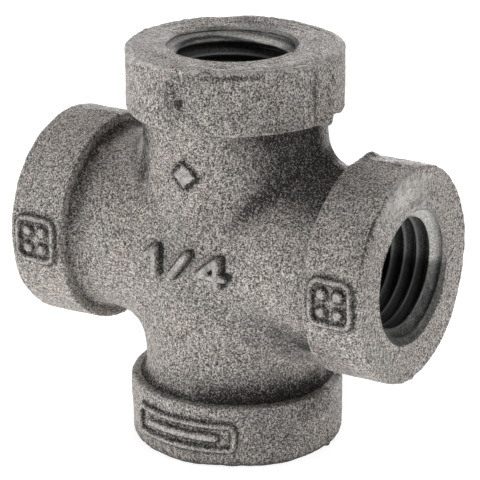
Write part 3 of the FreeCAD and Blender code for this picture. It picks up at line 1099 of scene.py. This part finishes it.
def cast_iron():
    """Sandy as-cast skin under a thin grey oxide, with dirt and painted shade in its hollows and
    painted glints on its grain.
    """
    iron = Surface("cast_iron")
    patches = iron.noise(6.0, 3.0)
    clouds = iron.noise(1.6, 3.0, 0.6)
    sand = iron.noise(0.15, 1.0, 0.5)
    round_grains = iron.noise(0.27, 2.0, 0.6)
    stretch = {"Rotation": (0.3, 0.75, 0.5), "Scale": (1.0, 1.0, 0.42)}
    drawn = iron.add("ShaderNodeMapping", Vector=iron.place, **stretch).outputs[0]
    long_grains = iron.noise(0.25, 2.0, 0.6, drawn)
    combed = iron.remap(iron.noise(4.5, 2.0), 0.45, 0.58)
    grains = iron.add("ShaderNodeMix", n0=combed, n2=round_grains, n3=long_grains).outputs[0]
    grit = iron.noise(0.6, 3.0, 0.65)
    tips = iron.cells(0.42, 0.1)
    pits = iron.cells(0.9, 0.2)

    warm = iron.remap(patches, 0.42, 0.56)
    ground = iron.blend(warm, GREY_GROUND, WARM_GROUND)
    cloudy = iron.remap(clouds, 0.3, 0.7, 0.0, 0.7)
    ground = iron.blend(cloudy, ground, CLOUDY_GROUND)
    tone = iron.math("ADD", iron.math("MULTIPLY", sand, 1.3), iron.math("MULTIPLY", grains, 0.85))
    tone = iron.math("ADD", tone, iron.math("MULTIPLY", grit, 0.25))
    ground = iron.blend(iron.ramp(tone, 1.2, 1.46), ground, PALE_GRAIN)
    ground = iron.blend(iron.ramp(tone, 1.2, 0.94), ground, DARK_GRAIN)
    # painted glints on the grain's worn tips
    worn_and_highlit = iron.math("MULTIPLY", iron.remap(tips, 0.2, 0.1), iron.remap(grit, 0.45, 0.6))
    ground = iron.blend(worn_and_highlit, ground, GLINTING_GRAIN)
    ground = iron.blend(iron.remap(pits, 0.16, 0.06, 0.0, 0.7), ground, PIT)
    pinholes = iron.remap(iron.cells(0.5, 0.1), 0.17, 0.08)
    pinholes = iron.math("MULTIPLY", pinholes, iron.remap(clouds, 0.47, 0.6))
    ground = iron.blend(pinholes, ground, PINHOLE)
    rust = iron.remap(iron.noise(0.5, 2.0), 0.64, 0.74)
    rust = iron.math("MULTIPLY", rust, iron.remap(patches, 0.5, 0.62))
    ground = iron.blend(rust, ground, RUST)

    # painted shade in the hollows, by how open each point is, standing also for dirt there
    hollow = iron.remap(iron.open_sky(3.5), 0.82, 0.38, 0.0, 0.85)
    soil_and_light = iron.soil_and_light()
    # wear and painted highlight where the value is below 0
    ground = iron.blend(iron.remap(soil_and_light, 0.0, -0.6, 0.0, 0.55), ground, RUBBED_AND_HIGHLIT)
    bright = iron.math("MULTIPLY", iron.math("MULTIPLY", soil_and_light, -1.0), iron.remap(grit, 0.34, 0.6))
    ground = iron.blend(iron.remap(bright, 0.0, 1.0), ground, WORN_AND_HIGHLIT)
    soil_and_light = iron.math("MULTIPLY", soil_and_light, iron.remap(tone, 1.5, 1.1, 0.72, 1.25))
    soil_and_light = iron.math("MINIMUM", soil_and_light, 0.97)
    # dirt and painted shade together
    grime_and_shade = iron.math("MAXIMUM", hollow, soil_and_light)
    ground = iron.blend(grime_and_shade, ground, GRIME_AND_SHADE)

    rough = iron.remap(clouds, 0.3, 0.7, 0.5, 0.68)
    rough = iron.math("MAXIMUM", rough, iron.remap(grime_and_shade, 0.2, 0.8, 0.5, 0.92))
    normal = iron.bump(grains, 0.2)
    normal = iron.bump(sand, 0.09, normal)
    normal = iron.bump(grit, 0.14, normal)
    iron.connect(Base_Color=ground, Roughness=rough, Normal=normal)
    iron.shader.inputs["Metallic"].default_value = 0.25
    return iron.material


def port_place(surface):
    """How far out along its port a point lies, and how far from the port's axis, in metres."""
    away = surface.add("ShaderNodeVectorMath", {"operation": "ABSOLUTE"}, n0=surface.place)
    parts = surface.add("ShaderNodeSeparateXYZ", n0=away.outputs[0])
    reach = surface.math("MAXIMUM", parts.outputs["X"], parts.outputs["Z"])
    other = surface.math("MINIMUM", parts.outputs["X"], parts.outputs["Z"])
    side = surface.math("POWER", parts.outputs["Y"], 2.0)
    radius = surface.math("SQRT", surface.math("ADD", surface.math("POWER", other, 2.0), side))
    return reach, radius


def machined_iron():
    """Tapped iron: painted lit and shaded sides at the mouth, black with cutting oil and painted
    shade in the grooves, with painted highlights on the crests.
    """
    cut = Surface("machined_iron")
    reach, radius = port_place(cut)
    speck = cut.noise(0.24, 3.0, 0.6)
    fine = cut.noise(0.15, 1.0, 0.5)
    turned = cut.add("ShaderNodeCombineXYZ", n0=reach, n1=radius).outputs[0]
    lines = cut.noise(0.09, 1.0, 0.5, turned)
    soil_and_light = cut.soil_and_light()

    tone = cut.math("ADD", speck, fine)
    bare = cut.blend(cut.ramp(tone, 0.85, 1.2), *LIT_BARE_CUT)
    dull = cut.blend(cut.ramp(tone, 0.85, 1.2), *DULL_SHADED_CUT)
    oil_and_shade = cut.blend(cut.ramp(speck, 0.4, 0.7), *OILY_SHADED_CUT)
    colour = cut.blend(cut.ramp(soil_and_light, 0.1, 0.6), bare, dull)
    colour = cut.blend(cut.ramp(soil_and_light, 0.65, 1.0), colour, oil_and_shade)
    # painted highlights on the crests, brighter on the lit side
    crest = cut.remap(radius, (CREST_RADIUS + 0.3) * MM, (CREST_RADIUS - 0.12) * MM, 0.0, 0.75)
    crest = cut.math("MULTIPLY", crest, cut.ramp(soil_and_light, 0.55, 0.7))
    colour = cut.blend(crest, colour, cut.blend(cut.ramp(soil_and_light, 0.7, 1.0), *CREST_HIGHLIGHT))
    # painted shade in the bottoms of the grooves, by how open each point is
    hollow = cut.remap(cut.open_sky(1.0), 0.62, 0.25, 0.0, 0.75)
    colour = cut.blend(hollow, colour, GROOVE_SHADE)

    rough = cut.remap(soil_and_light, 0.3, 1.0, 0.68, 0.4)
    normal = cut.bump(lines, 0.02)
    normal = cut.bump(speck, 0.07, normal)
    cut.connect(Base_Color=colour, Roughness=rough, Normal=normal)
    cut.shader.inputs["Metallic"].default_value = 0.3
    return cut.material


# ---- camera, stage and lights ----
def direction(azimuth, elevation):
    """The direction at a compass angle from the front and a height angle."""
    turn, rise_angle = math.radians(azimuth), math.radians(elevation)
    flat = math.cos(rise_angle)
    return Vector((math.sin(turn) * flat, -math.cos(turn) * flat, math.sin(rise_angle)))


def make_camera():
    """A long lens before and above the part, to its right, aimed at the hub."""
    camera_data = bpy.data.cameras.new("camera")
    camera = bpy.data.objects.new("camera", camera_data)
    bpy.context.scene.collection.objects.link(camera)
    azimuth, elevation = math.radians(CAMERA_AZIMUTH), math.radians(CAMERA_ELEVATION)
    camera.location = direction(CAMERA_AZIMUTH, CAMERA_ELEVATION) * CAMERA_DISTANCE
    aim = Euler((math.pi / 2 - elevation, 0, azimuth)).to_matrix()
    roll = Matrix.Rotation(math.radians(CAMERA_ROLL), 3, "Z")
    camera.rotation_euler = (aim @ roll).to_euler()
    camera_data.sensor_width = 36
    camera_data.lens = LENS
    camera_data.shift_x, camera_data.shift_y = LENS_SHIFT
    camera_data.clip_start = 0.01
    camera_data.clip_end = 20
    bpy.context.scene.camera = camera


def make_stage(ground):
    """A pale, faintly glowing floor at that height, just under the part."""
    corners = [
        (-FLOOR_SIZE, -FLOOR_SIZE, ground),
        (FLOOR_SIZE, -FLOOR_SIZE, ground),
        (FLOOR_SIZE, FLOOR_SIZE, ground),
        (-FLOOR_SIZE, FLOOR_SIZE, ground),
    ]
    mesh = bpy.data.meshes.new("floor")
    mesh.from_pydata(corners, [], [(0, 1, 2, 3)])
    floor = bpy.data.objects.new("floor", mesh)
    bpy.context.scene.collection.objects.link(floor)
    pale = Surface("pale_floor")
    pale.shader.inputs["Base Color"].default_value = FLOOR_GREY
    pale.shader.inputs["Roughness"].default_value = 0.9
    pale.shader.inputs["Emission Color"].default_value = (1, 1, 1, 1)
    pale.shader.inputs["Emission Strength"].default_value = FLOOR_GLOW
    mesh.materials.append(pale.material)
    floor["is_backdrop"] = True


def soft_light(name, azimuth, elevation, power):
    """A round soft light aimed at the part, by the compass angle and height it shines from."""
    towards = direction(azimuth, elevation)
    light = bpy.data.lights.new(name, "AREA")
    light.shape = "DISK"
    light.size = LIGHT_SIZE
    light.energy = power
    lamp = bpy.data.objects.new(name, light)
    lamp.location = towards * LIGHT_DISTANCE
    lamp.rotation_euler = (-towards).to_track_quat("-Z", "Y").to_euler()
    bpy.context.scene.collection.objects.link(lamp)


def make_lights():
    """A dim white world and the soft lights round the part."""
    world = bpy.data.worlds.new("studio")
    world.use_nodes = True
    background = world.node_tree.nodes["Background"]
    background.inputs["Color"].default_value = (1, 1, 1, 1)
    background.inputs["Strength"].default_value = WORLD_LIGHT
    bpy.context.scene.world = world
    for name, azimuth, elevation, power in LIGHTS:
        soft_light(name, azimuth, elevation, power)


bpy.context.scene.view_settings.view_transform = "Standard"
iron = cast_iron()
tapped = machined_iron()
hub = make_hub(iron)
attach(hub, "root")
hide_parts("hub")
for port in PORTS:
    make_band(port, iron)
    make_thread(port, tapped)
make_camera()
make_stage(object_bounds()[0][2])
make_lights()
